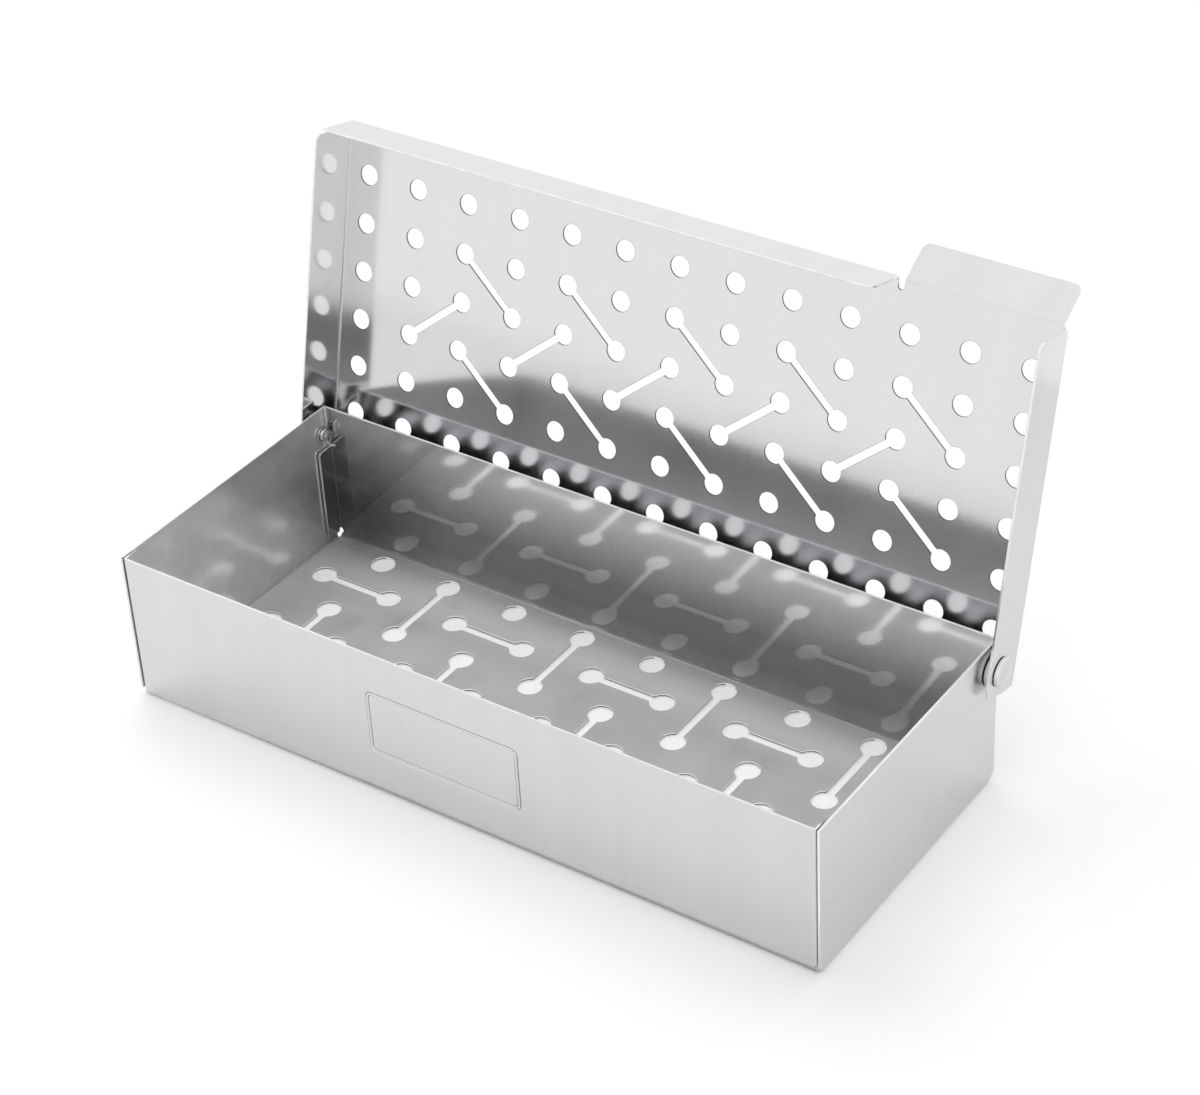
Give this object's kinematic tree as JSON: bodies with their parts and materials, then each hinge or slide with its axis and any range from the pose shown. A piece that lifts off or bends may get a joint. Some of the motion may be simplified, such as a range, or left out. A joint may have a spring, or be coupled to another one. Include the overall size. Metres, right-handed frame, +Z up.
{
  "type": "grill smoker box with hinged lid",
  "caption": "Long folded stainless steel box with a perforated floor, and a perforated lid with a lift tab that swings back on rivets through the side walls",
  "frame": {"origin": "Middle of the flat underside of the box's floor", "axes": "+X along the box to the end with the lift tab, +Z up, front wall at -Y, lid hinge along X at +Y"},
  "size_m": [0.3414, 0.1894, 0.1964],
  "materials": {
    "tray_steel": "brushed",
    "lid_steel": "brushed",
    "rivet_steel": "satin",
    "spacer_steel": "satin"
  },
  "bodies": {
    "tray_body": {"box_tray": "tray_steel", "hinge_rivet_left": "rivet_steel", "hinge_rivet_right": "rivet_steel", "hinge_spacer_left": "spacer_steel", "hinge_spacer_right": "spacer_steel", "rivet_washer_left": "spacer_steel", "rivet_washer_right": "spacer_steel"},
    "lid_body": {"lid": "lid_steel"}
  },
  "joints": [
    {"name": "lid_hinge", "type": "hinge", "parent": "tray_body", "child": "lid_body", "pos_m": [0, 0.0617, 0.0573], "axis": [1, 0, 0], "range_deg": [0, 104.4]}
  ]
}
